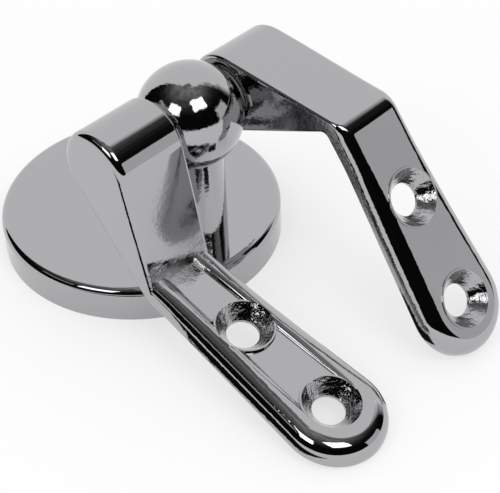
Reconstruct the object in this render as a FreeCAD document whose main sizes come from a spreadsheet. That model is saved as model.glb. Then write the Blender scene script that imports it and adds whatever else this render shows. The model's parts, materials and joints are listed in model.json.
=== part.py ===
"""Chromed toilet seat hinge: an eccentric base disc, a post with a ball head and two arms on one pin."""
import FreeCAD, Part
import Sketcher
from FreeCAD import Placement, Rotation, Vector

import os

doc = FreeCAD.newDocument("seat_hinge")

# Lengths that differ by less than this, in millimetres, count as the same
SAME_LENGTH = 0.0001

# Driving dimensions in millimetres, each with its own cell
DRIVING = {
    # base disc, hollow underneath
    "disc_dia": 50.0,
    "disc_height": 6.4,
    "disc_edge_round": 1.5,
    "disc_wall": 2.4,
    "disc_skin": 2.2,
    "rib_width": 1.8,
    "rib_lift": 0.6,
    "centre_boss_dia": 16.0,
    "fixing_bore_dia": 6.8,
    "fixing_depth": 4.4,
    # post with the ball head, off the middle of the disc
    "post_offset": 14.7,
    "post_dia": 10.4,
    "post_boss_dia": 13.0,
    "spigot_dia": 7.6,
    "spigot_depth": 1.4,
    "spigot_gap": 0.05,
    "pin_height": 31.5,
    "ball_dia": 17.9,
    "ball_flat_reach": 7.1,
    # countersunk screw from below, which holds the post
    "screw_dia": 5.0,
    "screw_gap": 0.1,
    "screw_head_dia": 9.2,
    "screw_head_lip": 0.5,
    "screw_recess": 0.4,
    "screw_grip": 9.0,
    "screw_end_room": 1.5,
    "socket_dia": 2.9,
    "socket_depth": 1.8,
    # hinge pin, and the nylon bush in each hub that snaps over it
    "pin_dia": 6.0,
    "pin_reach": 17.4,
    "pin_end_bevel": 0.6,
    "groove_reach": 13.2,
    "groove_width": 1.8,
    "groove_depth": 0.5,
    "bush_wall": 1.2,
    "bush_flange_dia": 9.4,
    "bush_flange": 0.4,
    "bead_depth": 0.3,
    "bead_gap": 0.15,
    "running_gap": 0.05,
    "side_gap": 0.1,
    "pin_end_room": 0.6,
    # both arms: hub, wedge shaped web and flat plate
    "hub_dia": 14.0,
    "hub_pad_step": 0.25,
    "arm_width": 13.2,
    "edge_round": 0.6,
    "hub_end_round": 1.4,
    "plate_thickness": 4.1,
    "plate_length": 43.5,
    "tip_width": 17.5,
    "tip_side_round": 3.1,
    "least_side": 0.15,
    "shoulder_round": 2.1,
    "plate_round": 2.4,
    "flare_round": 60.0,
    # screw holes of the arms
    "hole_pitch": 18.7,
    "hole_dia": 5.4,
    "sink_dia": 9.4,
    "sink_depth": 2.4,
    "hole_land": 0.5,
    "relief_dia": 9.4,
    "rim_dia": 10.0,
    "rim_height": 0.15,
    "rim_root": 1.8,
    "rim_draft": 0.4,
    # lid arm: the plate lies below the pin
    "lid_bend_reach": 14.6,
    "lid_face_drop": 13.9,
    "lid_heel_round": 3.0,
    "lid_flare_start": 1.0,
    "lid_floor_sink": 0.9,
    "lid_floor_end_sink": 0.45,
    "lid_floor_lean": 0.55,
    "lid_floor_round": 0.6,
    "lid_floor_splay": 1.2,
    "lid_hole_set_back": 1.0,
    "lid_rim_sink": 0.15,
    "lid_crest_land": 0.2,
    "lid_crest_width": 0.6,
    "lid_crest_drop": 0.22,
    # seat arm: the plate lies above the pin
    "seat_bend_reach": 11.6,
    "seat_face_rise": 23.2,
    "seat_bend_round": 5.0,
    "seat_heel_round": 1.2,
    "seat_flare_start": 4.5,
    "seat_hole_set_back": 0.3,
}

# Sizes worked out from the driving ones
WORKED = {
    "disc_radius": "sizes.disc_dia / 2",
    "hollow_radius": "sizes.disc_dia / 2 - sizes.disc_wall",
    "hollow_depth": "sizes.disc_height - sizes.disc_skin",
    "ball_radius": "sizes.ball_dia / 2",
    "post_radius": "sizes.post_dia / 2",
    "pin_radius": "sizes.pin_dia / 2",
    "groove_radius": "sizes.pin_dia / 2 - sizes.groove_depth",
    "bevel_radius": "sizes.pin_dia / 2 - sizes.pin_end_bevel",
    "groove_near": "sizes.groove_reach - sizes.groove_width / 2",
    "groove_far": "sizes.groove_reach + sizes.groove_width / 2",
    "bevel_reach": "sizes.pin_reach - sizes.pin_end_bevel",
    "hub_end": "sizes.ball_flat_reach + sizes.side_gap + sizes.bush_flange",
    "flange_near": "sizes.ball_flat_reach + sizes.side_gap",
    "flange_radius": "sizes.bush_flange_dia / 2",
    "web_near": "hub_end + sizes.hub_pad_step",
    "web_far": "web_near + sizes.arm_width",
    "arm_middle": "web_near + sizes.arm_width / 2",
    "flare_near": "web_near - sizes.flare_round",
    "flare_far": "web_far + sizes.flare_round",
    "bar_near": "arm_middle - sizes.tip_width",
    "bar_far": "arm_middle + sizes.tip_width",
    "bore_end": "sizes.pin_reach + sizes.pin_end_room",
    "bush_inside": "sizes.pin_dia / 2 + sizes.running_gap",
    "bush_outside": "bush_inside + sizes.bush_wall",
    "bush_end": "sizes.pin_reach - sizes.pin_end_bevel",
    "bead_inside": "sizes.pin_dia / 2 - sizes.bead_depth",
    "bead_near": "groove_near + sizes.bead_gap",
    "bead_far": "groove_far - sizes.bead_gap",
    "hub_radius": "sizes.hub_dia / 2",
    "pad_radius": "sizes.hub_dia / 2 - sizes.edge_round",
    "tip_radius": "sizes.tip_width / 2",
    "tip_round": "min(sizes.tip_side_round, sizes.plate_thickness - sizes.edge_round - sizes.least_side)",
    "rim_radius": "sizes.rim_dia / 2",
    "hole_radius": "sizes.hole_dia / 2",
    "sink_radius": "sizes.sink_dia / 2",
    "screw_radius": "sizes.screw_dia / 2",
    "screw_head_radius": "sizes.screw_head_dia / 2",
    "screw_seat": "sizes.screw_recess + sizes.screw_head_lip",
    "screw_neck": "screw_seat + screw_head_radius - screw_radius",
    "screw_top": "sizes.disc_height - sizes.spigot_depth + sizes.screw_grip",
    "socket_radius": "sizes.socket_dia / 2",
    "socket_top": "sizes.screw_recess + sizes.socket_depth",
    "lid_back_drop": "sizes.lid_face_drop + sizes.plate_thickness",
    "lid_flare_reach": "sizes.lid_bend_reach + sizes.lid_flare_start",
    "lid_tip_centre": "sizes.lid_bend_reach + sizes.plate_length - tip_radius",
    "lid_outer_hole": "lid_tip_centre - sizes.lid_hole_set_back",
    "lid_inner_hole": "lid_outer_hole - sizes.hole_pitch",
    "lid_bar_end": "lid_tip_centre + sizes.tip_width",
    "seat_back_rise": "sizes.seat_face_rise - sizes.plate_thickness",
    "seat_flare_reach": "sizes.seat_bend_reach + sizes.seat_flare_start",
    "seat_tip_centre": "sizes.seat_bend_reach + sizes.plate_length - tip_radius",
    "seat_outer_hole": "seat_tip_centre - sizes.seat_hole_set_back",
    "seat_inner_hole": "seat_outer_hole - sizes.hole_pitch",
    "seat_bar_end": "seat_tip_centre + sizes.tip_width",
    # the round back edge of each tip touches the ground, which gives the arm's slope at rest
    "touch_drop": "sizes.pin_height - sizes.edge_round",
    "lid_touch_reach": "sizes.lid_bend_reach + sizes.plate_length - sizes.edge_round",
    "lid_touch_drop": "lid_back_drop - sizes.edge_round",
    "seat_touch_reach": "sizes.seat_bend_reach + sizes.plate_length - sizes.edge_round",
    "seat_touch_rise": "seat_back_rise + sizes.edge_round",
    "lid_slope": "asin(touch_drop / sqrt(lid_touch_reach^2 + lid_touch_drop^2))"
                 " - atan(lid_touch_drop / lid_touch_reach)",
    "seat_slope": "asin(touch_drop / sqrt(seat_touch_reach^2 + seat_touch_rise^2))"
                  " + atan(seat_touch_rise / seat_touch_reach)",
    # the lid arm's sunk floor starts where the web's front face, carried on down, meets it
    "lid_corner_length": "sqrt(sizes.lid_bend_reach^2 + sizes.lid_face_drop^2)",
    "lid_front_slope": "atan(sizes.lid_face_drop / sizes.lid_bend_reach)"
                       " + asin(hub_radius / lid_corner_length)",
    "lid_floor_start": "sizes.lid_bend_reach + sizes.lid_floor_sink / tan(lid_front_slope)",
    "lid_floor_drop": "sizes.lid_face_drop + sizes.lid_floor_sink",
    "lid_floor_end_drop": "sizes.lid_face_drop + sizes.lid_floor_end_sink",
    "lid_crest_level": "sizes.lid_face_drop + sizes.lid_crest_drop",
    "lid_floor_clear": "sizes.lid_face_drop - sizes.lid_crest_drop",
    # half widths of its cross section at the bend; towards the tip it splays to both sides
    "lid_crest_half": "sizes.arm_width / 2 - sizes.plate_round - sizes.lid_crest_land",
    "lid_mouth_half": "lid_crest_half + sizes.lid_crest_width",
    "lid_wall_half": "lid_crest_half - sizes.lid_crest_width",
    "lid_foot_half": "lid_wall_half - sizes.lid_floor_lean",
    "lid_splay_at_end": "sizes.lid_floor_splay * (lid_bar_end - sizes.lid_bend_reach)"
                        " / (lid_tip_centre - sizes.lid_bend_reach)",
    # level of the countersinks' rims
    "lid_rim_drop": "sizes.lid_face_drop + sizes.lid_rim_sink",
    "seat_rim_rise": "sizes.seat_face_rise + sizes.rim_height",
}
for part in ("mouth", "wall", "foot"):
    for hand, sign in (("near", "-"), ("far", "+")):
        WORKED[f"lid_{part}_{hand}"] = f"arm_middle {sign} lid_{part}_half"
        WORKED[f"lid_{part}_{hand}_end"] = f"lid_{part}_{hand} {sign} lid_splay_at_end"

sizes = doc.addObject("Spreadsheet::Sheet", "sizes")
for row, (alias, value) in enumerate(DRIVING.items(), start=1):
    sizes.set(f"A{row}", alias)
    sizes.set(f"B{row}", str(value))
    sizes.setAlias(f"B{row}", alias)

worked = doc.addObject("Spreadsheet::Sheet", "worked")
for row, (alias, formula) in enumerate(WORKED.items(), start=1):
    worked.set(f"A{row}", alias)
    worked.setAlias(f"B{row}", alias)
    worked.set(f"B{row}", "=" + formula)
doc.recompute()


def cell(alias):
    """The name that an expression gives to a cell of either sheet."""
    return ("sizes." if alias in DRIVING else "worked.") + alias


def size(alias):
    """The number in a cell of either sheet."""
    value = (sizes if alias in DRIVING else worked).get(alias)
    return getattr(value, "Value", value)


def bind(obj, **expressions):
    """Bind properties to expressions; a double underscore in a name stands for a dot."""
    for name, expression in expressions.items():
        obj.setExpression(name.replace("__", "."), expression)
    return obj


def primitive(kind, name, axis=Vector(0, 0, 1), **expressions):
    """A solid of the Part bench whose own axis points along axis."""
    obj = doc.addObject("Part::" + kind, name)
    obj.Placement = Placement(Vector(), Rotation(Vector(0, 0, 1), axis))
    return bind(obj, **expressions)


def combine(kind, name, *shapes):
    """A boolean of solids: the first one is the base of a cut."""
    obj = doc.addObject("Part::" + kind, name)
    if kind == "Cut":
        obj.Base, obj.Tool = shapes
    else:
        obj.Shapes = list(shapes)
    return obj


def round_edges(name, base, picks):
    """Round edges of a solid; picks gives (test of an edge, cell of its first radius, of its last)."""
    doc.recompute()
    obj = doc.addObject("Part::Fillet", name)
    obj.Base = base
    edges = []
    for number, edge in enumerate(base.Shape.Edges, start=1):
        for test, first, last in picks:
            if test(edge):
                edges.append((number, *radii_along(edge, size(first), size(last))))
    obj.Edges = edges
    return obj


def radii_along(edge, first, last):
    """First and last radius in the edge's own direction, for a radius that grows towards the tip."""
    start, end = (edge.valueAt(end) for end in edge.ParameterRange)
    return (first, last) if start.y >= end.y else (last, first)


def edge_points(edge):
    first, last = edge.ParameterRange
    return [edge.valueAt(first + (last - first) * share) for share in (0, 0.3, 0.7, 1)]


def lies(edge, **at):
    """True where every point of the edge has the given coordinates."""
    return all(abs(getattr(point, axis) - value) < SAME_LENGTH
               for point in edge_points(edge) for axis, value in at.items())


def new_body(name):
    return doc.addObject("PartDesign::Body", name)


def new_sketch(body, name, plane, **offset):
    """A sketch on one of the body's own origin planes, moved along the plane's normal."""
    sketch = body.newObject("Sketcher::SketchObject", name)
    support = [f for f in body.Origin.OriginFeatures if f.Role == plane][0]
    sketch.AttachmentSupport = [(support, "")]
    sketch.MapMode = "FlatFace"
    return bind(sketch, **offset)


def hold(sketch, geometry, end, across, up):
    """Tie an end of a line or arc to cells: its two coordinates, each with a sign, or 0 for the axis."""
    for kind, coordinate, axis in (("DistanceX", across, -2), ("DistanceY", up, -1)):
        if coordinate == 0:
            sketch.addConstraint(Sketcher.Constraint("PointOnObject", geometry, end, axis))
            continue
        alias = coordinate.lstrip("-")
        ends = (geometry, end, -1, 1) if coordinate.startswith("-") else (-1, 1, geometry, end)
        number = sketch.addConstraint(Sketcher.Constraint(kind, *ends, size(alias)))
        sketch.setExpression(f"Constraints[{number}]", cell(alias))


def place(coordinate):
    """The number of a coordinate that is written as a signed cell name."""
    if coordinate == 0:
        return 0.0
    return -size(coordinate[1:]) if coordinate.startswith("-") else size(coordinate)


def polygon(sketch, corners):
    """A closed outline of straight lines whose corners are pairs of signed cell names."""
    points = [Vector(place(across), place(up), 0) for across, up in corners]
    for start, end in zip(points, points[1:] + points[:1]):
        sketch.addGeometry(Part.LineSegment(start, end), False)
    for line in range(len(points)):
        following = (line + 1) % len(points)
        sketch.addConstraint(Sketcher.Constraint("Coincident", line, 2, following, 1))
    for line, (across, up) in enumerate(corners):
        hold(sketch, line, 1, across, up)


def feature(body, kind, name, **expressions):
    return bind(body.newObject("PartDesign::" + kind, name), **expressions)


def revolved(name, plane, axis, corners):
    """A body turned from a half section about one axis of its sketch."""
    body = new_body(name)
    sketch = new_sketch(body, name + "_section", plane)
    polygon(sketch, corners)
    turn = feature(body, "Revolution", name + "_turned")
    turn.Profile = sketch
    turn.ReferenceAxis = (sketch, [axis])
    turn.Angle = 360
    return body


def to_pin_axis(obj):
    """Put a piece that was drawn about the ball's centre in its place."""
    return bind(obj, Placement__Base__y="-sizes.post_offset", Placement__Base__z="sizes.pin_height")


def base_disc():
    """Cast disc with a round edge, open underneath, with two bosses, ribs and the fixing bore."""
    blank = primitive("Cylinder", "disc_blank", Radius="worked.disc_radius", Height="sizes.disc_height")
    rounded = round_edges("disc_rounded", blank, [
        (lambda e: e.Closed and lies(e, z=size("disc_height")), "disc_edge_round", "disc_edge_round")])
    hollow = primitive("Cylinder", "disc_hollow", Radius="worked.hollow_radius", Height="worked.hollow_depth")
    centre = primitive("Cylinder", "centre_boss", Radius="sizes.centre_boss_dia / 2",
                       Height="worked.hollow_depth")
    under_post = primitive("Cylinder", "post_boss", Radius="sizes.post_boss_dia / 2",
                           Height="worked.hollow_depth", Placement__Base__y="-sizes.post_offset")
    ribs = []
    for turn in (30, 90, 150):
        rib = primitive("Box", f"rib_at_{turn}", Length="2 * worked.hollow_radius", Width="sizes.rib_width",
                        Height="worked.hollow_depth - sizes.rib_lift")
        rib.Placement = Placement(Vector(), Rotation(Vector(0, 0, 1), turn))
        bind(rib, Placement__Base__z="sizes.rib_lift",
             Placement__Base__x=f"-worked.hollow_radius * cos({turn}) + sizes.rib_width / 2 * sin({turn})",
             Placement__Base__y=f"-worked.hollow_radius * sin({turn}) - sizes.rib_width / 2 * cos({turn})")
        ribs.append(rib)
    room = combine("Cut", "disc_room", hollow, combine("MultiFuse", "disc_stays", centre, under_post, *ribs))
    shell = combine("Cut", "disc_shell", rounded, room)
    bore = primitive("Cylinder", "fixing_bore", Radius="sizes.fixing_bore_dia / 2",
                     Height="sizes.fixing_depth")
    socket = primitive("Cylinder", "spigot_socket", Radius="sizes.spigot_dia / 2 + sizes.spigot_gap",
                       Height="sizes.spigot_depth * 2", Placement__Base__y="-sizes.post_offset",
                       Placement__Base__z="sizes.disc_height - sizes.spigot_depth")
    way = primitive("Cylinder", "screw_way", Radius="worked.screw_radius + sizes.screw_gap",
                    Height="sizes.disc_height", Placement__Base__y="-sizes.post_offset")
    mouth = primitive("Cylinder", "screw_mouth", Radius="worked.screw_head_radius + sizes.screw_gap",
                      Height="worked.screw_seat", Placement__Base__y="-sizes.post_offset")
    cone = primitive("Cone", "screw_cone", Radius1="worked.screw_head_radius + sizes.screw_gap",
                     Radius2="worked.screw_radius + sizes.screw_gap",
                     Height="worked.screw_head_radius - worked.screw_radius",
                     Placement__Base__y="-sizes.post_offset", Placement__Base__z="worked.screw_seat")
    holes = combine("MultiFuse", "disc_holes", bore, socket, way, mouth, cone)
    return combine("Cut", "base_disc", shell, holes)


def ball_post():
    """Round post with a spigot foot and a ball head that is flat at both sides and bored for the pin."""
    at_post = {"Placement__Base__y": "-sizes.post_offset"}
    spigot = primitive("Cylinder", "post_spigot", Radius="sizes.spigot_dia / 2",
                       Height="sizes.spigot_depth * 2",
                       Placement__Base__z="sizes.disc_height - sizes.spigot_depth", **at_post)
    stem = primitive("Cylinder", "post_stem", Radius="worked.post_radius",
                     Height="sizes.pin_height - sizes.disc_height",
                     Placement__Base__z="sizes.disc_height", **at_post)
    ball = primitive("Sphere", "post_ball", Radius="worked.ball_radius",
                     Placement__Base__z="sizes.pin_height", **at_post)
    limit = primitive("Box", "post_limit", Length="2 * sizes.ball_flat_reach", Width="2 * sizes.ball_dia",
                      Height="2 * sizes.pin_height", Placement__Base__x="-sizes.ball_flat_reach",
                      Placement__Base__y="-sizes.post_offset - sizes.ball_dia")
    solid = combine("MultiFuse", "post_solid", spigot, stem, ball)
    flatted = combine("MultiCommon", "post_flatted", solid, limit)
    bore = primitive("Cylinder", "post_pin_bore", Vector(1, 0, 0), Radius="worked.pin_radius",
                     Height="2 * sizes.ball_dia", Placement__Base__x="-sizes.ball_dia",
                     Placement__Base__z="sizes.pin_height", **at_post)
    tapped = primitive("Cylinder", "post_tapped_hole", Radius="worked.screw_radius + sizes.screw_gap",
                       Height="worked.screw_top + sizes.screw_end_room", **at_post)
    return combine("Cut", "ball_post", flatted, combine("MultiFuse", "post_holes", bore, tapped))


def post_screw():
    """Countersunk screw with a hexagon socket, driven up through the disc into the post."""
    body = revolved("post_screw_body", "XZ_Plane", "V_Axis", [
        (0, "screw_recess"), ("screw_head_radius", "screw_recess"), ("screw_head_radius", "screw_seat"),
        ("screw_radius", "screw_neck"), ("screw_radius", "screw_top"), (0, "screw_top")])
    bind(body, Placement__Base__y="-sizes.post_offset")
    socket = doc.addObject("Part::Prism", "screw_socket")
    socket.Polygon = 6
    bind(socket, Circumradius="worked.socket_radius", Height="worked.socket_top",
         Placement__Base__y="-sizes.post_offset")
    return combine("Cut", "post_screw", body, socket)


def hinge_pin():
    """Steel pin, pressed through the ball, with a snap groove and a bevel at both ends."""
    half = [(0, "pin_radius"), ("groove_near", "pin_radius"), ("groove_near", "groove_radius"),
            ("groove_far", "groove_radius"), ("groove_far", "pin_radius"), ("bevel_reach", "pin_radius"),
            ("pin_reach", "bevel_radius"), ("pin_reach", 0)]
    other = [("-" + across, up) for across, up in reversed(half) if across]
    body = revolved("hinge_pin", "XZ_Plane", "H_Axis", half + other)
    return to_pin_axis(body)


def arm_bush(name, side):
    """Flanged nylon bush for a hub, with a bead inside that snaps into the pin's groove."""
    section = [("flange_near", "bush_inside"), ("flange_near", "flange_radius"), ("hub_end", "flange_radius"),
               ("hub_end", "bush_outside"), ("bush_end", "bush_outside"), ("bush_end", "bush_inside"),
               ("bead_far", "bush_inside"), ("bead_far", "bead_inside"), ("bead_near", "bead_inside"),
               ("bead_near", "bush_inside")]
    signed = [(side + across, up) for across, up in section]
    return to_pin_axis(revolved(name, "XZ_Plane", "H_Axis", signed))


def side_outline(sketch, reach, face, back, end):
    """Side view of an arm: hub arc, two lines from it to the bend, and the plate."""
    corner = Vector(place(reach), place(face), 0)
    heel = Vector(place(reach), place(back), 0)
    radius = size("hub_radius")
    over = tangent_point(corner, radius, -1)
    under = tangent_point(heel, radius, 1)
    ends = [Vector(place(end), place(level), 0) for level in (face, back)]
    path = [over, corner, ends[0], ends[1], heel, under]
    for first, last in zip(path, path[1:]):
        sketch.addGeometry(Part.LineSegment(first, last), False)
    hub = add_arc(sketch, Vector(), "hub_radius", under, over)
    for line in range(4):
        sketch.addConstraint(Sketcher.Constraint("Coincident", line, 2, line + 1, 1))
    sketch.addConstraint(Sketcher.Constraint("Coincident", hub, 3, -1, 1))
    sketch.addConstraint(Sketcher.Constraint("Tangent", hub, 2, 0, 1))
    sketch.addConstraint(Sketcher.Constraint("Tangent", hub, 1, 4, 2))
    hold(sketch, 0, 2, reach, face)
    hold(sketch, 1, 2, end, face)
    hold(sketch, 2, 2, end, back)
    hold(sketch, 3, 2, reach, back)


def add_arc(sketch, centre, radius, start, end):
    """An arc that runs counterclockwise, with its radius tied to a cell."""
    circle = Part.Circle(centre, Vector(0, 0, 1), size(radius))
    turn = [circle.parameter(point) for point in (start, end)]
    arc = sketch.addGeometry(Part.ArcOfCircle(circle, *turn), False)
    number = sketch.addConstraint(Sketcher.Constraint("Radius", arc, size(radius)))
    sketch.setExpression(f"Constraints[{number}]", cell(radius))
    return arc


def tangent_point(outside, radius, turn):
    """Point where a line from an outside point touches the hub circle about the origin."""
    share = radius / outside.Length
    along = Vector(outside).normalize()
    aside = Vector(-along.y, along.x, 0)
    return along * (radius * share) + aside * (turn * radius * (1 - share * share) ** 0.5)


def plan_outline(sketch, side, flare, tip_centre):
    """Plan of an arm: straight along the web, then widening in a slight curve to the round tip."""
    low, high = sorted((side + "web_near", side + "web_far"), key=place)
    beside = sorted((side + "flare_near", side + "flare_far"), key=place)
    tip = Vector(place(side + "arm_middle"), place(tip_centre), 0)
    curves = [Vector(place(x), place(flare), 0) for x in beside]
    touch = [cross_tangent(tip, curve, turn) for curve, turn in zip(curves, (1, -1))]
    back = [Vector(place(x), size("hub_dia"), 0) for x in (low, high)]
    turns = [Vector(place(x), place(flare), 0) for x in (low, high)]
    sketch.addGeometry(Part.LineSegment(back[1], back[0]), False)
    sketch.addGeometry(Part.LineSegment(back[0], turns[0]), False)
    left = add_arc(sketch, curves[0], "flare_round", touch[0][1], turns[0])
    sketch.addGeometry(Part.LineSegment(touch[0][1], touch[0][0]), False)
    end = add_arc(sketch, tip, "tip_radius", touch[0][0], touch[1][0])
    sketch.addGeometry(Part.LineSegment(touch[1][0], touch[1][1]), False)
    right = add_arc(sketch, curves[1], "flare_round", turns[1], touch[1][1])
    sketch.addGeometry(Part.LineSegment(turns[1], back[1]), False)
    for kind, first, first_end, last, last_end in (
            ("Coincident", 0, 2, 1, 1), ("Tangent", 1, 2, left, 2), ("Tangent", left, 1, left + 1, 1),
            ("Tangent", left + 1, 2, end, 1), ("Tangent", end, 2, end + 1, 1),
            ("Tangent", end + 1, 2, right, 2), ("Tangent", right, 1, right + 1, 1),
            ("Coincident", right + 1, 2, 0, 1)):
        sketch.addConstraint(Sketcher.Constraint(kind, first, first_end, last, last_end))
    hold(sketch, 0, 2, low, "hub_dia")
    hold(sketch, 0, 1, high, "hub_dia")
    hold(sketch, 1, 2, low, flare)
    hold(sketch, right + 1, 1, high, flare)
    hold(sketch, end, 3, side + "arm_middle", tip_centre)


def cross_tangent(tip, curve, turn):
    """Ends of the side that touches the tip's circle and the flare's curve on the other hand of it."""
    between = curve - tip
    share = (size("tip_radius") + size("flare_round")) / between.Length
    along = Vector(between).normalize()
    aside = Vector(-along.y, along.x, 0)
    normal = along * share + aside * (turn * (1 - share * share) ** 0.5)
    return tip + normal * size("tip_radius"), curve - normal * size("flare_round")


def arm_bar(name, side, levels, bends):
    """Hub, web and plate of an arm in one, with rounded bends; the plate's upper edge grows rounder."""
    reach, face, back, flare, tip_centre, end = levels
    low = min((side + "bar_near", side + "bar_far"), key=place)
    body = new_body(name + "_profile")
    sketch = new_sketch(body, name + "_side_view", "YZ_Plane", AttachmentOffset__Base__z=signed_cell(low))
    side_outline(sketch, reach, face, back, end)
    pad = feature(body, "Pad", name + "_profile_pad", Length="2 * sizes.tip_width")
    pad.Profile = sketch
    doc.recompute()
    solid = pad
    for level, radius in bends.items():
        picked = [f"Edge{n}" for n, e in enumerate(solid.Shape.Edges, start=1)
                  if lies(e, y=place(reach), z=place(level))]
        solid = round_feature(body, solid, radius + "_across", picked, radius)
    plan = new_body(name + "_plan")
    sketch = new_sketch(plan, name + "_plan_view", "XY_Plane",
                        AttachmentOffset__Base__z="-sizes.seat_face_rise")
    plan_outline(sketch, side, flare, tip_centre)
    pad = feature(plan, "Pad", name + "_plan_pad", Length="3 * sizes.seat_face_rise")
    pad.Profile = sketch
    bar = combine("MultiCommon", name + "_bar", body, plan)

    def along(edge):
        first = edge_points(edge)[0]
        across = lies(edge, y=first.y, z=first.z)
        upright = lies(edge, x=first.x, y=first.y)
        return not across and not upright

    def at_hub_end(edge):
        return lies(edge, x=place(side + "web_far")) and has_radius(edge, "hub_radius")

    def beside_hub_end(edge):
        start, stop = edge_points(edge)[0], edge_points(edge)[-1]
        near_hub = max(start.y, stop.y) > place(reach) / 2
        return lies(edge, x=place(side + "web_far")) and not is_arc(edge) and near_hub

    def outer_bend(edge):
        return face in bends and has_radius(edge, bends[face])

    def on_face(edge):
        return lies(edge, z=place(face))

    def at_tip(edge):
        return on_face(edge) and has_radius(edge, "tip_radius")

    def widening(edge):
        start, stop = edge_points(edge)[0], edge_points(edge)[-1]
        return on_face(edge) and not is_arc(edge) and abs(start.x - stop.x) > size("least_side")

    def straight(edge):
        return on_face(edge) and not is_arc(edge) and not widening(edge)

    def flaring(edge):
        return on_face(edge) and is_arc(edge) and not at_tip(edge)

    return round_edges(name + "_rounded", bar, [
        (lambda e: along(e) and outer_bend(e), "edge_round", "shoulder_round"),
        (lambda e: along(e) and straight(e), "shoulder_round", "shoulder_round"),
        (lambda e: along(e) and flaring(e), "shoulder_round", "plate_round"),
        (lambda e: along(e) and widening(e), "plate_round", "tip_round"),
        (lambda e: along(e) and at_tip(e), "tip_round", "tip_round"),
        (at_hub_end, "hub_end_round", "hub_end_round"),
        (beside_hub_end, "hub_end_round", "edge_round"),
        (lambda e: along(e) and not (on_face(e) or outer_bend(e) or at_hub_end(e) or beside_hub_end(e)),
         "edge_round", "edge_round")])


def round_feature(body, base, name, edges, radius):
    fillet = feature(body, "Fillet", name, Radius=cell(radius))
    fillet.Base = (base, edges)
    doc.recompute()
    return fillet


def is_arc(edge):
    return isinstance(edge.Curve, Part.Circle)


def has_radius(edge, radius):
    return is_arc(edge) and abs(edge.Curve.Radius - size(radius)) < SAME_LENGTH


def signed_cell(coordinate):
    """A signed cell name as an expression."""
    return ("-" if coordinate.startswith("-") else "") + cell(coordinate.lstrip("-"))


def screw_rims(name, side, top, holes):
    """Low round rims of the plate about its countersinks, a little wider at the root."""
    return [primitive("Cone", f"{name}_{label}_rim", Radius1="worked.rim_radius + sizes.rim_draft",
                      Radius2="worked.rim_radius", Height="sizes.rim_root",
                      Placement__Base__x=signed_cell(side + "arm_middle"),
                      Placement__Base__y=signed_cell(reach),
                      Placement__Base__z=f"{signed_cell(top)} - sizes.rim_root")
            for label, reach in holes.items()]


def arm_holes(name, side, top, holes):
    """What is cut from an arm: countersunk holes with a relief behind each, and the bush's blind bore."""
    cuts = []
    for label, reach in holes.items():
        spot = {"Placement__Base__x": signed_cell(side + "arm_middle"),
                "Placement__Base__y": signed_cell(reach)}
        through = primitive("Cylinder", f"{name}_{label}_hole", Radius="worked.hole_radius",
                            Height="sizes.plate_thickness * 3",
                            Placement__Base__z=f"{signed_cell(top)} - sizes.plate_thickness * 2", **spot)
        sink = primitive("Cone", f"{name}_{label}_sink", Radius1="worked.hole_radius",
                         Radius2="2 * worked.sink_radius - worked.hole_radius",
                         Height="2 * sizes.sink_depth",
                         Placement__Base__z=f"{signed_cell(top)} - sizes.sink_depth", **spot)
        relief = primitive("Cylinder", f"{name}_{label}_relief", Radius="sizes.relief_dia / 2",
                           Height="sizes.plate_thickness",
                           Placement__Base__z=f"{signed_cell(top)} - sizes.sink_depth - sizes.hole_land"
                                              " - sizes.plate_thickness", **spot)
        cuts += [through, sink, relief]
    bore = primitive("Cylinder", name + "_bush_bore", outwards(side), Radius="worked.bush_outside",
                     Height="worked.bore_end")
    return cuts + [bore]


def hub_pad(name, side):
    """Low round pad on the hub's inner end, which the bush's flange bears on."""
    return primitive("Cylinder", name + "_hub_pad", outwards(side), Radius="worked.pad_radius",
                     Height="sizes.arm_width / 2", Placement__Base__x=signed_cell(side + "hub_end"))


def outwards(side):
    """Direction along the pin from the ball to an arm."""
    return Vector(-1 if side else 1, 0, 0)


def at_rest(arm, slope):
    """Hang an arm on the pin, sloping down behind until its tip touches the ground."""
    arm.Placement = Placement(Vector(), Rotation(Vector(1, 0, 0), size(slope)))
    bind(arm, Placement__Rotation__Angle=cell(slope))
    return to_pin_axis(arm)


def lid_floor():
    """What sinks the floor of the lid arm's plate: deepest at the bend, with leaning sides."""
    depth = new_body("lid_floor_depth")
    sketch = new_sketch(depth, "lid_floor_side_view", "YZ_Plane",
                        AttachmentOffset__Base__z="-worked.bar_far")
    polygon(sketch, [("-lid_bend_reach", "-lid_face_drop"), ("-lid_floor_start", "-lid_floor_drop"),
                     ("-lid_tip_centre", "-lid_floor_end_drop"), ("-lid_tip_centre", "-lid_floor_clear"),
                     ("-lid_bend_reach", "-lid_floor_clear")])
    pad = feature(depth, "Pad", "lid_floor_depth_pad", Length="2 * sizes.tip_width")
    pad.Profile = sketch
    across = new_body("lid_floor_across")
    corners = [("-lid_foot_near", "-lid_floor_drop"), ("-lid_foot_far", "-lid_floor_drop"),
               ("-lid_wall_far", "-lid_crest_level"), ("-lid_mouth_far", "-lid_floor_clear"),
               ("-lid_mouth_near", "-lid_floor_clear"), ("-lid_wall_near", "-lid_crest_level")]
    sections = []
    for end, reach in (("", "lid_bend_reach"), ("_end", "lid_bar_end")):
        sketch = new_sketch(across, "lid_floor_section" + end, "XZ_Plane",
                            AttachmentOffset__Base__z=cell(reach))
        polygon(sketch, [(aside + end, level) for aside, level in corners])
        sections.append(sketch)
    splayed = feature(across, "AdditiveLoft", "lid_floor_splayed")
    splayed.Profile, splayed.Sections, splayed.Ruled = sections[0], sections[1:], True
    trough = combine("MultiCommon", "lid_floor_trough", depth, across)

    def at_foot(edge):
        ends = edge_points(edge)
        return abs(ends[0].y - ends[-1].y) > size("hole_pitch") and ends[0].z < -size("lid_crest_level")

    return round_edges("lid_floor", trough, [(at_foot, "lid_floor_round", "lid_floor_round")])


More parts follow.
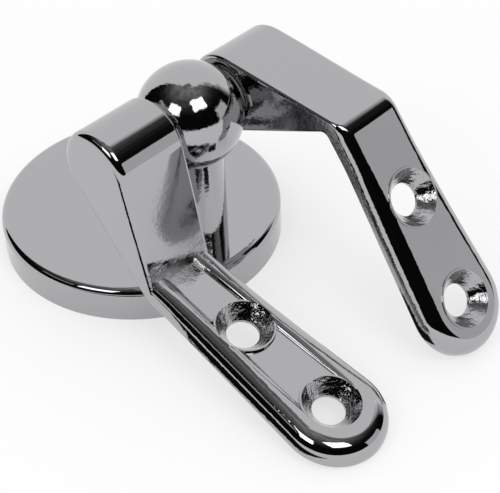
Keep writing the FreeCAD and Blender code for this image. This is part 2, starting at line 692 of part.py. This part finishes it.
def lid_arm():
    """Arm of the lid: it drops from the pin and bends outwards, with its screw heads inside the bend."""
    side, face, back, tip = "-", "-lid_face_drop", "-lid_back_drop", "-lid_tip_centre"
    holes = {"inner": "-lid_inner_hole", "outer": "-lid_outer_hole"}
    levels = ("-lid_bend_reach", face, back, "-lid_flare_reach", tip, "-lid_bar_end")
    bar = arm_bar("lid_arm", side, levels, {back: "lid_heel_round"})
    sunk = combine("Cut", "lid_arm_sunk", bar, lid_floor())
    blank = combine("MultiFuse", "lid_arm_blank", sunk, hub_pad("lid_arm", side),
                    *screw_rims("lid_arm", side, "-lid_rim_drop", holes))
    cuts = combine("MultiFuse", "lid_arm_cuts", *arm_holes("lid_arm", side, "-lid_rim_drop", holes))
    return at_rest(combine("Cut", "lid_arm", blank, cuts), "lid_slope")


def seat_arm():
    """Arm of the seat: it runs out from the pin and bends down, with its screw heads outside the bend."""
    side, face, back, tip = "", "seat_face_rise", "seat_back_rise", "-seat_tip_centre"
    holes = {"inner": "-seat_inner_hole", "outer": "-seat_outer_hole"}
    levels = ("-seat_bend_reach", face, back, "-seat_flare_reach", tip, "-seat_bar_end")
    bends = {face: "seat_bend_round", back: "seat_heel_round"}
    bar = arm_bar("seat_arm", side, levels, bends)
    blank = combine("MultiFuse", "seat_arm_blank", bar, hub_pad("seat_arm", side),
                    *screw_rims("seat_arm", side, "seat_rim_rise", holes))
    cuts = combine("MultiFuse", "seat_arm_cuts", *arm_holes("seat_arm", side, "seat_rim_rise", holes))
    return at_rest(combine("Cut", "seat_arm", blank, cuts), "seat_slope")


pieces = [base_disc(), ball_post(), post_screw(), hinge_pin(), arm_bush("lid_arm_bush", "-"),
          arm_bush("seat_arm_bush", ""), lid_arm(), seat_arm()]
doc.recompute()

failed = [obj.Name for obj in doc.Objects if {"Invalid", "Error"} & set(obj.State)]
if failed:
    raise RuntimeError("these objects failed: " + ", ".join(failed))
for piece in pieces:
    if piece.Shape.isNull() or not piece.Shape.isValid() or len(piece.Shape.Solids) != 1:
        raise RuntimeError(piece.Label + " isn't one valid solid")

os.makedirs("parts", exist_ok=True)
for piece in pieces:
    piece.Shape.exportStep(os.path.join("parts", piece.Label + ".step"))
    print(piece.Label, round(piece.Shape.Volume, 1), "mm3", piece.Shape.BoundBox)
print("slopes", round(size("lid_slope"), 3), round(size("seat_slope"), 3))
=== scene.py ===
import json
import math

import bpy
import numpy as np
from mathutils import Matrix, Vector


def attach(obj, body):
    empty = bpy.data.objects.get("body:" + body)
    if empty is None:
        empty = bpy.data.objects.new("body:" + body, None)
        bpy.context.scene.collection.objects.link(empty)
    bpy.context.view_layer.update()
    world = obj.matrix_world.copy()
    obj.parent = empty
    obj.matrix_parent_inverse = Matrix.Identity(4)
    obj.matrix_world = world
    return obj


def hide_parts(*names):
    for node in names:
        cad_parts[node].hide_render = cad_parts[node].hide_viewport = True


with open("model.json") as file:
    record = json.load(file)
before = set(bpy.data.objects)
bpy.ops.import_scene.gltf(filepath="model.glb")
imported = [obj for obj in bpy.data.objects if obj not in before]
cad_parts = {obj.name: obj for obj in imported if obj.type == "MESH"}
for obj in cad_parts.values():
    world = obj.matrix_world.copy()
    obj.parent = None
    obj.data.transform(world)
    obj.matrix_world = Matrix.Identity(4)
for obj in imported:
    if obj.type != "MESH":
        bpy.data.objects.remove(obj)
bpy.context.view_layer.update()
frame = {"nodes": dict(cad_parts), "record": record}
scene = bpy.context.scene
mm = 0.001
pureWhite = (1, 1, 1, 1)
print("frame loaded:", len(frame["nodes"]), "nodes")


def linear(hexColour):
    # sRGB hex to linear RGBA
    srgb = np.array([int(hexColour[i:i + 2], 16) for i in (1, 3, 5)]) / 255
    value = np.where(srgb <= 0.04045, srgb / 12.92, ((srgb + 0.055) / 1.055) ** 2.4)
    return (*value.tolist(), 1.0)


def addNode(tree, kind, links=None, **settings):
    # settings named after a socket set the socket, the others set the node's own property
    node = tree.nodes.new(kind)
    for key, value in settings.items():
        if key in node.inputs:
            node.inputs[key].default_value = value
        else:
            setattr(node, key, value)
    for key, source in (links or {}).items():
        tree.links.new(source, node.inputs[key])
    return node


def newMaterial(name):
    material = bpy.data.materials.new(name)
    material.use_nodes = True
    material.node_tree.nodes.clear()
    return material, material.node_tree


# Chrome plate on polished die-cast zinc: a neutral mirror whose straight reflections waver
# a little with the casting under it. Where the wheel did not reach, as in the sinks and bends,
# it keeps the rough cast skin: the reflections break up into small bright and dark blotches.
# Pairs are the values on a polished face and on the cast skin
chromeLook = {"colour": "#adadaf", "roughness": (0.045, 0.32),
              "waveSize": 4.5 * mm, "waveHeight": (0.010 * mm, 0.016 * mm),
              "skinSize": 0.85 * mm, "skinHeight": (0.0012 * mm, 0.13 * mm)}


def chromePlate(name, roughSpots=(), skin=0.0, blur=0.0):
    # skin is the share of the cast skin and blur that of its dullness, both from 0 to 1;
    # a rough spot is a ball with a soft edge and shares of its own
    material, tree = newMaterial(name)
    place = addNode(tree, "ShaderNodeTexCoord").outputs["Object"]
    elsewhere = {"skin": skin, "blur": blur}
    rough = {"skin": None, "blur": None}
    for spot in roughSpots:
        away = addNode(tree, "ShaderNodeVectorMath", {0: place}, operation="DISTANCE")
        away.inputs[1].default_value = spot["centre"]
        for kind in rough:
            ball = addNode(tree, "ShaderNodeMapRange", {"Value": away.outputs["Value"]},
                           interpolation_type="SMOOTHSTEP",
                           **{"From Min": spot["radius"], "From Max": spot["radius"] + spot["edge"],
                              "To Min": spot[kind], "To Max": elsewhere[kind]})
            share = ball.outputs["Result"]
            if rough[kind]:
                larger = addNode(tree, "ShaderNodeMath", {0: rough[kind], 1: share}, operation="MAXIMUM")
                share = larger.outputs["Value"]
            rough[kind] = share
    wave = addNode(tree, "ShaderNodeTexNoise", {"Vector": place}, Scale=1 / chromeLook["waveSize"],
                   Detail=1.5, Roughness=0.4)
    grain = addNode(tree, "ShaderNodeTexNoise", {"Vector": place}, Scale=1 / chromeLook["skinSize"],
                    Detail=3.0, Roughness=0.55)
    low = addNode(tree, "ShaderNodeBump", {"Height": wave.outputs["Fac"]}, Strength=1.0)
    high = addNode(tree, "ShaderNodeBump", {"Height": grain.outputs["Fac"], "Normal": low.outputs["Normal"]},
                   Strength=1.0)
    shader = addNode(tree, "ShaderNodeBsdfPrincipled", {"Normal": high.outputs["Normal"]}, Metallic=1.0,
                     **{"Base Color": linear(chromeLook["colour"])})
    for socket, look, kind in ((low.inputs["Distance"], "waveHeight", "skin"),
                               (high.inputs["Distance"], "skinHeight", "skin"),
                               (shader.inputs["Roughness"], "roughness", "blur")):
        polished, cast = chromeLook[look]
        if rough[kind]:
            level = addNode(tree, "ShaderNodeMapRange", {"Value": rough[kind]},
                            **{"To Min": polished, "To Max": cast})
            tree.links.new(level.outputs["Result"], socket)
        else:
            socket.default_value = polished + (cast - polished) * elsewhere[kind]
    addNode(tree, "ShaderNodeOutputMaterial", {"Surface": shader.outputs["BSDF"]})
    return material


# Bright drawn steel: fine turning marks run round the pin and the screw.
# A band of the wave texture is 0.314 units wide at scale 1
steelLook = {"colour": "#b2b1ae", "roughness": 0.28, "markPitch": 0.12 * mm, "markHeight": 0.0015 * mm,
             "bandAtScaleOne": 0.314}


def brightSteel(axis):
    material, tree = newMaterial("brightDrawnSteel" + axis)
    place = addNode(tree, "ShaderNodeTexCoord").outputs["Object"]
    marks = addNode(tree, "ShaderNodeTexWave", {"Vector": place}, bands_direction=axis, Distortion=0.6,
                    Detail=2.0, Scale=steelLook["bandAtScaleOne"] / steelLook["markPitch"])
    bump = addNode(tree, "ShaderNodeBump", {"Height": marks.outputs["Fac"]}, Strength=1.0,
                   Distance=steelLook["markHeight"])
    shader = addNode(tree, "ShaderNodeBsdfPrincipled", {"Normal": bump.outputs["Normal"]}, Metallic=1.0,
                     Roughness=steelLook["roughness"], **{"Base Color": linear(steelLook["colour"])})
    addNode(tree, "ShaderNodeOutputMaterial", {"Surface": shader.outputs["BSDF"]})
    return material


# Natural nylon: milky white, dull, with the faint grain of the mould
nylonLook = {"colour": "#dfddd3", "roughness": 0.5, "grainSize": 0.25 * mm, "grainHeight": 0.004 * mm,
             "milk": 0.15, "milkDepth": 1 * mm}


def naturalNylon():
    material, tree = newMaterial("naturalNylon")
    place = addNode(tree, "ShaderNodeTexCoord").outputs["Object"]
    grain = addNode(tree, "ShaderNodeTexNoise", {"Vector": place}, Scale=1 / nylonLook["grainSize"], Detail=2.0)
    bump = addNode(tree, "ShaderNodeBump", {"Height": grain.outputs["Fac"]}, Strength=1.0,
                   Distance=nylonLook["grainHeight"])
    shader = addNode(tree, "ShaderNodeBsdfPrincipled", {"Normal": bump.outputs["Normal"]},
                     Roughness=nylonLook["roughness"],
                     **{"Base Color": linear(nylonLook["colour"]), "Subsurface Weight": nylonLook["milk"],
                        "Subsurface Scale": nylonLook["milkDepth"]})
    addNode(tree, "ShaderNodeOutputMaterial", {"Surface": shader.outputs["BSDF"]})
    return material


# Rough spots of the arms: every countersink, and the lid arm's inner bend and the web above it
screwHoles = {row["name"]: row for row in frame["record"]["mounts"] if row["name"].endswith("screw_hole")}
sinks = {"radius": 4.75 * mm, "edge": 0.3 * mm, "above": 1.2 * mm, "skin": 1.0, "blur": 0.16}
bendSpots = {"outerCorner": {"centre": (-18.9 * mm, -25.6 * mm, 15.2 * mm), "radius": 1.0 * mm,
                             "edge": 2.2 * mm, "skin": 0.9, "blur": 0.45},
             "innerCorner": {"centre": (-10.2 * mm, -26.3 * mm, 14.4 * mm), "radius": 1.2 * mm,
                             "edge": 2.4 * mm, "skin": 0.9, "blur": 0.45},
             "middle": {"centre": (-14.6 * mm, -26.0 * mm, 14.2 * mm), "radius": 1.4 * mm,
                        "edge": 2.4 * mm, "skin": 0.45, "blur": 0.55},
             "web": {"centre": (-14.5 * mm, -23.6 * mm, 23.5 * mm), "radius": 5.0 * mm,
                     "edge": 4.0 * mm, "skin": 0.06, "blur": 0.12}}
ballFinish = {"skin": 0.22, "blur": 0.05}
castFinish = {"skin": 0.38, "blur": 0.1}


def sinkSpots(arm):
    # each ball's centre lies above its hole, along the hole's axis
    holes = [row for name, row in screwHoles.items() if name.startswith(arm)]
    return [{"centre": np.add(row["pos_m"], np.multiply(row["axis"], sinks["above"])).tolist(), **sinks}
            for row in holes]


lidChrome = chromePlate("polishedChromePlateLid", sinkSpots("lid") + list(bendSpots.values()))
seatChrome = chromePlate("polishedChromePlateSeat", sinkSpots("seat"))
discChrome = chromePlate("polishedChromePlate")
ballChrome = chromePlate("polishedChromePlateBall", **ballFinish)
castChrome = chromePlate("asCastChromePlate", **castFinish)
turnedSteel = brightSteel("X")
screwSteel = brightSteel("Z")
nylon = naturalNylon()
print("materials made")


# A piece takes the solid of its node, joined up so that light runs smoothly over its rounds;
# corners that fall on the same micrometre become one point
joining = {"stepsPerMetre": 1e6, "sharpAngle": 34, "leastArea": 1e-12, "flatWeight": 50}


def smoothPiece(node, name, body, materials, second=None):
    source = frame["nodes"][node].data
    points = np.empty(len(source.vertices) * 3, np.float32)
    source.vertices.foreach_get("co", points)
    points = points.reshape(-1, 3)
    corners = np.empty(len(source.loops), np.int32)
    source.loops.foreach_get("vertex_index", corners)
    steps = np.round(points * joining["stepsPerMetre"]).astype(np.int64)
    _, first, merged = np.unique(steps, axis=0, return_index=True, return_inverse=True)
    points = points[first]
    triangles = merged.reshape(-1)[corners].reshape(-1, 3)
    a, b, c = triangles.T
    triangles = triangles[(a != b) & (b != c) & (c != a)]
    mesh = bpy.data.meshes.new(name)
    mesh.from_pydata(points.tolist(), [], triangles.tolist())
    mesh.shade_smooth()
    mesh.set_sharp_from_angle(angle=math.radians(joining["sharpAngle"]))
    for material in materials:
        mesh.materials.append(material)
    if second:
        # faces that take the second material, picked by their middle in millimetres and their direction
        a, b, c = (points[triangles[:, corner]] for corner in range(3))
        across = np.cross(b - a, c - a)
        facing = across / np.maximum(np.linalg.norm(across, axis=1, keepdims=True), joining["leastArea"])
        mesh.polygons.foreach_set("material_index", second((a + b + c) / 3 / mm, facing).astype(np.int32))
    piece = bpy.data.objects.new(name, mesh)
    scene.collection.objects.link(piece)
    weighted = piece.modifiers.new("evenFlats", "WEIGHTED_NORMAL")
    weighted.mode = "FACE_AREA_WITH_ANGLE"
    weighted.weight = joining["flatWeight"]
    weighted.keep_sharp = True
    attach(piece, body)
    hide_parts(node)


# The disc's underside and hollow are left as cast: its faces that look down, and what lies inside the
# hollow's radius and below its top, in millimetres
discHollow = {"down": -0.5, "radius": 22.7, "top": 6.3}


def discAsCast(middle, facing):
    inside = np.hypot(middle[:, 0], middle[:, 1]) < discHollow["radius"]
    return (facing[:, 2] < discHollow["down"]) | inside & (middle[:, 2] < discHollow["top"])


# On an arm the side that faces the ball, and the back and the edge of its plate, are left as cast:
# the ball's side lies within ballSide of the middle, and the plate starts at plateFrom along Y, in millimetres
armBacks = {"squareOn": 0.9, "edgeOn": 0.2, "ballSide": 8.4, "plateFrom": {"lid": -29, "seat": -44}}


def armAsCast(arm, ballWay):
    # ballWay is 1 where the ball lies along +X from the arm and -1 where it lies along -X
    axis = np.array(screwHoles[arm + "_outer_screw_hole"]["axis"])

    def pick(middle, facing):
        outOfFace = facing @ axis
        towardsBall = ballWay * facing[:, 0] > armBacks["squareOn"]
        besideBall = towardsBall & (ballWay * middle[:, 0] > -armBacks["ballSide"])
        plateEdge = (np.abs(outOfFace) < armBacks["edgeOn"]) & (middle[:, 1] < armBacks["plateFrom"][arm])
        return besideBall | (outOfFace < -armBacks["squareOn"]) | plateEdge
    return pick


smoothPiece("base_disc", "baseDisc", "base", [discChrome, castChrome], discAsCast)
smoothPiece("ball_post", "ballPost", "base", [ballChrome])
smoothPiece("post_screw", "postScrew", "base", [screwSteel])
smoothPiece("hinge_pin", "hingePin", "base", [turnedSteel])
smoothPiece("lid_arm", "lidArm", "lid", [lidChrome, castChrome], armAsCast("lid", 1))
smoothPiece("lid_arm_bush", "lidArmBush", "lid", [nylon])
smoothPiece("seat_arm", "seatArm", "seat", [seatChrome, castChrome], armAsCast("seat", -1))
smoothPiece("seat_arm_bush", "seatArmBush", "seat", [nylon])
print("pieces made")


# The studio: a white floor and surround, a dim ceiling, and on the camera's side a dark room with two soft
# boxes, a pale strip and a paper card in it; beside the arms two dark sheets lie on the floor, seen by the chrome
# alone, as painted dark reflections of the white floor there.
# Directions are azimuth from +X to +Y and height above the horizon, in degrees. A card's tone runs evenly
# from one of its heights to the next, with darker and lighter patches, and may fade to white at its end
studio = {"floorReach": 1.6, "floorColour": "#f6f6f6", "floorRoughness": 0.9, "floorWhite": 0.6, "surround": 0.87,
          "patchSize": 0.3, "patchRange": (0.35, 0.65), "cardRows": 65, "cardColumns": 49}
cards = {"darkRoom": {"azimuths": (100, 352), "distance": 1.5, "patches": (0.55, 1.45), "fadeOut": (337, 352),
                      "tones": {2.5: "#0c0c0c", 33: "#101010", 46: "#2a2a2a",
                                60: "#606060", 72: "#8c8c8c", 90: "#8c8c8c"}},
         "ceiling": {"azimuths": (-8, 100), "distance": 1.5, "patches": (0.55, 1.45),
                     "tones": {79: "#8c8c8c", 90: "#8c8c8c"}},
         "sideStrip": {"azimuths": (138, 168), "distance": 1.3, "patches": (0.8, 1.0),
                       "tones": {33: "#c8c8c8", 39: "#c8c8c8"}},
         "paperCard": {"azimuths": (290, 318), "distance": 1.3, "patches": (0.95, 1.05),
                       "tones": {3: "#e0e0e0", 26: "#dedede"}}}
# painted dark reflections: dark sheets on the white floor beside the arms that only the chrome sees
darkReflectionSheets = {"lidDarkReflection": {"corners": ((-26.5, -68), (-26.5, -27), (-90, 12), (-90, -22)),
                     "above": 0.2, "colour": "#121212"},
         "seatDarkReflection": {"corners": ((-6, -62), (4, -62), (4, -44), (-6, -44)),
                      "above": 0.2, "colour": "#1c1c1c"}}
softBoxes = {"mainBox": {"azimuth": -101, "height": 53, "distance": 1.1,
                         "width": 0.52, "depth": 0.42, "radiance": 3.0},
             "sideBox": {"azimuth": -173, "height": 41, "distance": 1.1,
                         "width": 0.47, "depth": 0.34, "radiance": 3.0}}


def onSphere(azimuths, heights, distance):
    # points at a distance from the origin: azimuth turns from +X to +Y, height is above the horizon
    a, h = np.radians(azimuths), np.radians(heights)
    return distance * np.stack([np.cos(h) * np.cos(a), np.cos(h) * np.sin(a), np.sin(h) * np.ones_like(a)], -1)


def seenDirectly(tree):
    # 1 for what the camera sees, straight or in the chrome, 0 for light on its way to a dull surface
    path = addNode(tree, "ShaderNodeLightPath")
    seen = path.outputs["Is Camera Ray"]
    for ray in ("Is Glossy Ray", "Is Transmission Ray"):
        either = addNode(tree, "ShaderNodeMath", {0: seen, 1: path.outputs[ray]}, operation="MAXIMUM")
        seen = either.outputs["Value"]
    return seen


def chromeOnly(name, mesh):
    # a part of the studio that shows in reflections alone
    holder = bpy.data.objects.new(name, mesh)
    scene.collection.objects.link(holder)
    holder.visible_camera = False
    holder.visible_diffuse = False
    holder.visible_shadow = False


def gridFaces(rows, columns):
    # the four corners of each cell of a grid whose points run row by row
    corner = np.arange(rows * columns).reshape(rows, columns)
    return np.stack([corner[:-1, :-1], corner[:-1, 1:], corner[1:, 1:], corner[1:, :-1]], -1).reshape(-1, 4)


cardFaces = gridFaces(studio["cardRows"], studio["cardColumns"]).tolist()
for name, card in cards.items():
    # part of a sphere about the hinge that only the chrome sees
    heights = list(card["tones"])
    a, h = np.meshgrid(np.linspace(*card["azimuths"], studio["cardColumns"]),
                       np.linspace(heights[0], heights[-1], studio["cardRows"]))
    mesh = bpy.data.meshes.new(name)
    mesh.from_pydata(onSphere(a, h, card["distance"]).reshape(-1, 3).tolist(), [], cardFaces)
    tones = np.array([linear(tone) for tone in card["tones"].values()])
    glows = np.stack([np.interp(h.reshape(-1), heights, tones[:, channel]) for channel in range(4)], -1)
    if "fadeOut" in card:
        # the card grows white towards its last azimuth
        glows += (1 - glows) * np.interp(a.reshape(-1, 1), card["fadeOut"], (0, 1))
    mesh.color_attributes.new("tone", "FLOAT_COLOR", "POINT").data.foreach_set("color", glows.reshape(-1))
    cloth, tree = newMaterial(name + "Cloth")
    tone = addNode(tree, "ShaderNodeAttribute", attribute_name="tone")
    place = addNode(tree, "ShaderNodeTexCoord").outputs["Object"]
    patch = addNode(tree, "ShaderNodeTexNoise", {"Vector": place}, Scale=1 / studio["patchSize"],
                    Detail=4.0, Roughness=0.65)
    darkest, lightest = studio["patchRange"]
    least, most = card["patches"]
    strength = addNode(tree, "ShaderNodeMapRange", {"Value": patch.outputs["Fac"]},
                       **{"From Min": darkest, "From Max": lightest, "To Min": least, "To Max": most})
    glow = addNode(tree, "ShaderNodeEmission", {"Color": tone.outputs["Color"],
                                                "Strength": strength.outputs["Result"]})
    addNode(tree, "ShaderNodeOutputMaterial", {"Surface": glow.outputs["Emission"]})
    mesh.materials.append(cloth)
    chromeOnly(name, mesh)

for name, darkSheet in darkReflectionSheets.items():
    # a dark sheet on the paper beside an arm, seen by the chrome alone: a painted dark reflection of the floor
    # there, in millimetres
    mesh = bpy.data.meshes.new(name)
    mesh.from_pydata([(x * mm, y * mm, darkSheet["above"] * mm) for x, y in darkSheet["corners"]], [], [(0, 1, 2, 3)])
    cloth, tree = newMaterial(name + "Cloth")
    glow = addNode(tree, "ShaderNodeEmission", Color=linear(darkSheet["colour"]), Strength=1.0)
    addNode(tree, "ShaderNodeOutputMaterial", {"Surface": glow.outputs["Emission"]})
    mesh.materials.append(cloth)
    chromeOnly(name, mesh)

for name, box in softBoxes.items():
    lamp = bpy.data.lights.new(name, "AREA")
    lamp.shape = "RECTANGLE"
    lamp.size = box["width"]
    lamp.size_y = box["depth"]
    lamp.energy = box["radiance"] * math.pi * box["width"] * box["depth"]
    holder = bpy.data.objects.new(name, lamp)
    scene.collection.objects.link(holder)
    away = Vector(onSphere(box["azimuth"], box["height"], 1.0))
    holder.location = away * box["distance"]
    holder.rotation_euler = away.to_track_quat("Z", "Y").to_euler()
    holder.visible_camera = False

floorMesh = bpy.data.meshes.new("floor")
reach = studio["floorReach"]
floorCorners = [(-reach, -reach, 0), (reach, -reach, 0), (reach, reach, 0), (-reach, reach, 0)]
floorMesh.from_pydata(floorCorners, [], [(0, 1, 2, 3)])
floor = bpy.data.objects.new("floor", floorMesh)
scene.collection.objects.link(floor)
paper, tree = newMaterial("whitePaper")
shader = addNode(tree, "ShaderNodeBsdfPrincipled", Roughness=studio["floorRoughness"],
                 **{"Base Color": linear(studio["floorColour"]), "Specular IOR Level": 0.0})
white = addNode(tree, "ShaderNodeEmission", Color=pureWhite, Strength=1.0)
share = addNode(tree, "ShaderNodeMapRange", {"Value": seenDirectly(tree)}, **{"To Max": studio["floorWhite"]})
both = addNode(tree, "ShaderNodeMixShader", {0: share.outputs["Result"], 1: shader.outputs["BSDF"],
                                             2: white.outputs["Emission"]})
addNode(tree, "ShaderNodeOutputMaterial", {"Surface": both.outputs["Shader"]})
floorMesh.materials.append(paper)

world = bpy.data.worlds.new("whiteSurround")
scene.world = world
world.use_nodes = True
tree = world.node_tree
tree.nodes.clear()
soft = addNode(tree, "ShaderNodeBackground", Color=pureWhite, Strength=studio["surround"])
white = addNode(tree, "ShaderNodeBackground", Color=pureWhite, Strength=1.0)
both = addNode(tree, "ShaderNodeMixShader", {0: seenDirectly(tree), 1: soft.outputs["Background"],
                                             2: white.outputs["Background"]})
addNode(tree, "ShaderNodeOutputWorld", {"Surface": both.outputs["Shader"]})
print("studio made")


# The camera stands where the photograph was taken: across, up and back are its own axes.
# Its place and sensor are in millimetres, its focal length in pixels of the photograph's width
cameraView = {"place": (-131.7, -161.2, 171.7), "across": (0.6917, -0.7213, -0.0343),
              "up": (0.4886, 0.4325, 0.7578), "focalPixels": 1480.0, "frameWidth": 500, "sensor": 36.0,
              "nearest": 0.01}
lens = bpy.data.cameras.new("photoCamera")
lens.sensor_fit = "HORIZONTAL"
lens.sensor_width = cameraView["sensor"]
lens.lens = cameraView["focalPixels"] / cameraView["frameWidth"] * cameraView["sensor"]
lens.clip_start = cameraView["nearest"]
camera = bpy.data.objects.new("photoCamera", lens)
scene.collection.objects.link(camera)
across = Vector(cameraView["across"]).normalized()
back = across.cross(Vector(cameraView["up"])).normalized()
up = back.cross(across)
turned = Matrix((across, up, back)).transposed().to_4x4()
camera.matrix_world = Matrix.Translation(Vector(cameraView["place"]) * mm) @ turned
scene.camera = camera
scene.view_settings.view_transform = "Standard"
print("camera set")
